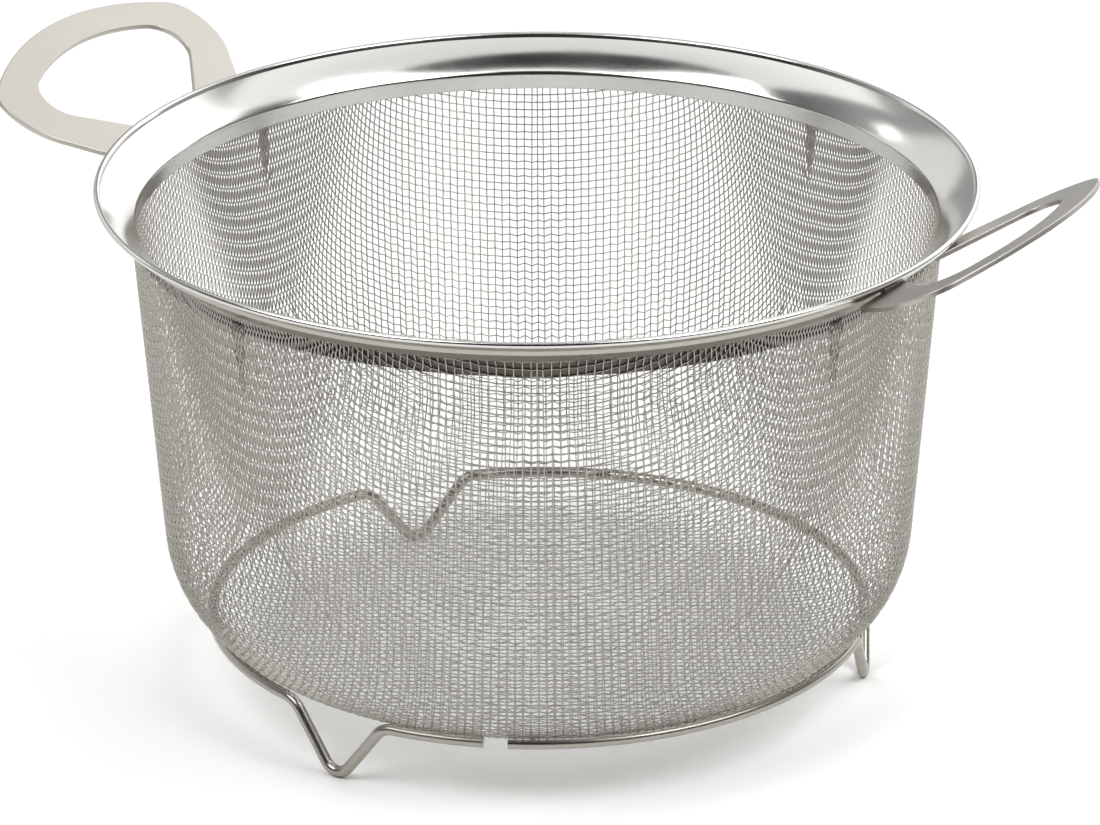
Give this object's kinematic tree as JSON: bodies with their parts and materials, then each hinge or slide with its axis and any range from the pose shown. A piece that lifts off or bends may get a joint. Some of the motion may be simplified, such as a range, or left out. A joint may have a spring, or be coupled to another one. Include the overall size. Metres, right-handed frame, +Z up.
{
  "type": "honey strainer",
  "caption": "Deep woven wire-mesh basket clamped in a flared sheet-metal rim, with loop handles at both sides and a bent wire base ring on V-shaped feet, for straining honey",
  "frame": {"origin": "on the table under the centre of the basket, where the feet rest", "axes": "+Z up through the centre of the rim, +X through the right handle, +Y away from the side where the cut ends of the base wire lie"},
  "size_m": [0.3064, 0.234, 0.1581],
  "materials": {
    "rim_polished_steel": "spun and buffed stainless sheet, near-mirror with faint circular lines",
    "backing_steel": "rolled stainless sheet, satin",
    "mesh_wire_steel": "drawn stainless wire, plain weave",
    "base_wire_steel": "drawn round stainless wire, satin",
    "handle_satin_steel": "stamped stainless plate, tumbled satin with polished edges",
    "weld_steel": "resistance and fusion weld metal, dull"
  },
  "bodies": {
    "root": {"rim_top_ring": "rim_polished_steel", "rim_backing_ring": "backing_steel", "mesh_basket": "mesh_wire_steel", "base_wire": "base_wire_steel", "handle_left": "handle_satin_steel", "handle_right": "handle_satin_steel", "handle_left_welds": "weld_steel", "handle_right_welds": "weld_steel", "base_wire_welds": "weld_steel"}
  },
  "joints": []
}
